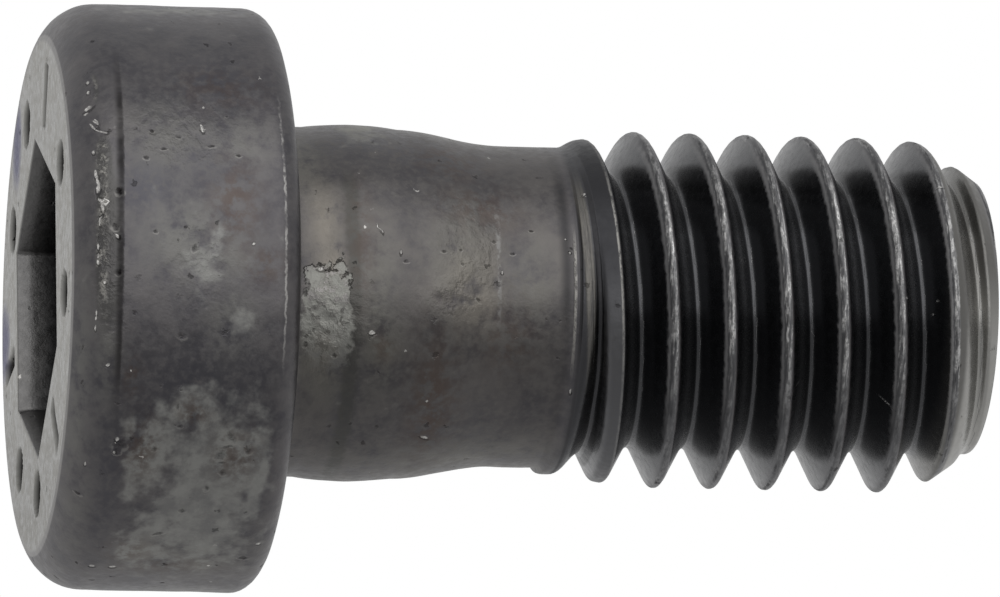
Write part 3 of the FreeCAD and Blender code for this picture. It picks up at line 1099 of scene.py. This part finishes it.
duller = plus(rise(fine, 0.3, 0.75, 0.36, 0.48), times(pale_share, 0.14), times(flake, 0.16))
smoother = minus(
    duller,
    times(sleek_share, 0.05),
    times(face_share, 0.10),
    times(in_thread_share, 0.16),
    times(socket_share, 0.05),
)
dullness = plus(smoother, times(lit_crest_brow, 0.4), times(dirt_and_shade, 0.3), cap=True)
feed(steel_shader.inputs["Roughness"], dullness)

blisters = rise(ragged, 0.44, 0.64)
skin_relief = plus(
    times(grain, 0.07),
    times(fine, plus(0.19, times(rough_share, 0.5))),
    times(patchy, plus(0.3, times(rough_share, 0.7))),
    times(blisters, times(rough_share, 0.3)),
    times(strip_mottle, 0.5),
)
relief = times(skin_relief, minus(1.0, times(in_thread_share, 0.85)))
relief = plus(relief, times(crest_wear_and_highlight, 0.4), times(plus(lip_highlight, run_in_highlight), 0.3))
relief = minus(relief, times(dirt_and_shade, 0.8), times(nicks, 0.5))
relief_depth = 0.03 * mm
relief_bump = steel_nodes.new("ShaderNodeBump")
relief_bump.inputs["Strength"].default_value = 1.0
relief_bump.inputs["Distance"].default_value = relief_depth
feed(relief_bump.inputs["Height"], relief)
feed(steel_shader.inputs["Normal"], relief_bump.outputs["Normal"])
steel_shader.inputs["Metallic"].default_value = 1.0
screw_mesh.materials.append(steel)


# The floor
# A plain pale sheet under the head. The photo's view comes from just below it, so its underside
# lets the camera through, and it takes the screw's shadow without shading the screw.
floor_half = 1.5
floor_gap = 0.02 * mm
floor_mesh = bpy.data.meshes.new("pale_floor")
floor_mesh.from_pydata(
    [(x * floor_half, y * floor_half, -floor_gap) for x, y in ((-1, -1), (1, -1), (1, 1), (-1, 1))],
    [],
    [(0, 1, 2, 3)],
)
floor = bpy.data.objects.new("pale_floor", floor_mesh)
bpy.context.scene.collection.objects.link(floor)
floor.visible_diffuse = False
floor.visible_glossy = False
floor.visible_transmission = False
floor.visible_shadow = False
pale = bpy.data.materials.new("pale_floor")
pale.use_nodes = True
pale_nodes = pale.node_tree.nodes
pale_links = pale.node_tree.links
pale_nodes.clear()
matt = pale_nodes.new("ShaderNodeBsdfDiffuse")
matt.inputs["Color"].default_value = (0.9, 0.9, 0.89, 1)
see_through = pale_nodes.new("ShaderNodeBsdfTransparent")
which_side = pale_nodes.new("ShaderNodeNewGeometry")
both = pale_nodes.new("ShaderNodeMixShader")
pale_out = pale_nodes.new("ShaderNodeOutputMaterial")
pale_links.new(which_side.outputs["Backfacing"], both.inputs[0])
pale_links.new(matt.outputs[0], both.inputs[1])
pale_links.new(see_through.outputs[0], both.inputs[2])
pale_links.new(both.outputs[0], pale_out.inputs["Surface"])
floor_mesh.materials.append(pale)


# The light and the camera
# A white room with a dark side behind the camera, and one soft lamp above it and to the front. The
# camera lies on its side, a little below the head's face, with a long lens.
room = bpy.data.worlds.new("white_room")
bpy.context.scene.world = room
room.use_nodes = True
room_nodes = room.node_tree.nodes
room_links = room.node_tree.links
room_nodes.clear()
parts = room_nodes.new("ShaderNodeSeparateXYZ")
room_links.new(room_nodes.new("ShaderNodeTexCoord").outputs["Generated"], parts.inputs[0])


def room_calc(operation, first, second):
    """One step of arithmetic on the room's light."""
    step = room_nodes.new("ShaderNodeMath")
    step.operation = operation
    for socket, value in zip(step.inputs, (first, second)):
        if isinstance(value, bpy.types.NodeSocket):
            room_links.new(value, socket)
        else:
            socket.default_value = value
    return step.outputs[0]


front_light = 0.37
back_light = 0.85
light_bend = 0.8
side_light = 0.16
end_light = 0.20
depth = room_calc("MULTIPLY_ADD", parts.outputs["Y"], 0.5)
depth.node.inputs[2].default_value = 0.5
depth = room_calc("POWER", depth, light_bend)
room_level = room_calc("MULTIPLY_ADD", depth, back_light - front_light)
room_level.node.inputs[2].default_value = front_light
from_side = room_calc("MAXIMUM", room_calc("MULTIPLY", parts.outputs["X"], -side_light), 0.0)
from_ends = room_calc("MULTIPLY", room_calc("ABSOLUTE", parts.outputs["Z"], 0.0), end_light)
room_level = room_calc("ADD", room_level, room_calc("ADD", from_side, from_ends))
room_light = room_nodes.new("ShaderNodeBackground")
room_links.new(room_level, room_light.inputs["Strength"])
backdrop = room_nodes.new("ShaderNodeBackground")
backdrop.inputs["Color"].default_value = (1, 1, 1, 1)
ray = room_nodes.new("ShaderNodeLightPath")
seen = room_nodes.new("ShaderNodeMixShader")
room_out = room_nodes.new("ShaderNodeOutputWorld")
room_links.new(ray.outputs["Is Camera Ray"], seen.inputs[0])
room_links.new(room_light.outputs[0], seen.inputs[1])
room_links.new(backdrop.outputs[0], seen.inputs[2])
room_links.new(seen.outputs[0], room_out.inputs["Surface"])

lamp_turn = math.radians(-36)
lamp_distance = 0.35
lamp_width = 0.55
lamp_data = bpy.data.lights.new("soft_lamp", "AREA")
lamp_data.shape = "SQUARE"
lamp_data.size = lamp_width
lamp_data.energy = 1.0
lamp = bpy.data.objects.new("soft_lamp", lamp_data)
bpy.context.scene.collection.objects.link(lamp)
lamp_aim = Vector((0, 0, screw_length / 2 * mm))
lamp_place = Vector((math.sin(lamp_turn), -math.cos(lamp_turn), 0)) * lamp_distance
lamp.visible_camera = False
lamp.location = lamp_aim + lamp_place
lamp.rotation_euler = (-lamp_place).to_track_quat("-Z", "Y").to_euler()

camera_data = bpy.data.cameras.new("photo_camera")
camera_data.sensor_width = 36
camera_data.lens = 370.78
camera_data.clip_start = 0.01
camera_data.clip_end = 10
camera = bpy.data.objects.new("photo_camera", camera_data)
bpy.context.scene.collection.objects.link(camera)
camera_place = Vector((-0.000178, -0.22109, -0.02984))
camera_tilt = math.radians(90 + 10.263)
camera_roll = math.radians(91.348)
camera.matrix_world = (
    Matrix.Translation(camera_place)
    @ Matrix.Rotation(camera_tilt, 4, "X")
    @ Matrix.Rotation(camera_roll, 4, "Z")
)
bpy.context.scene.camera = camera
bpy.context.scene.view_settings.view_transform = "Standard"
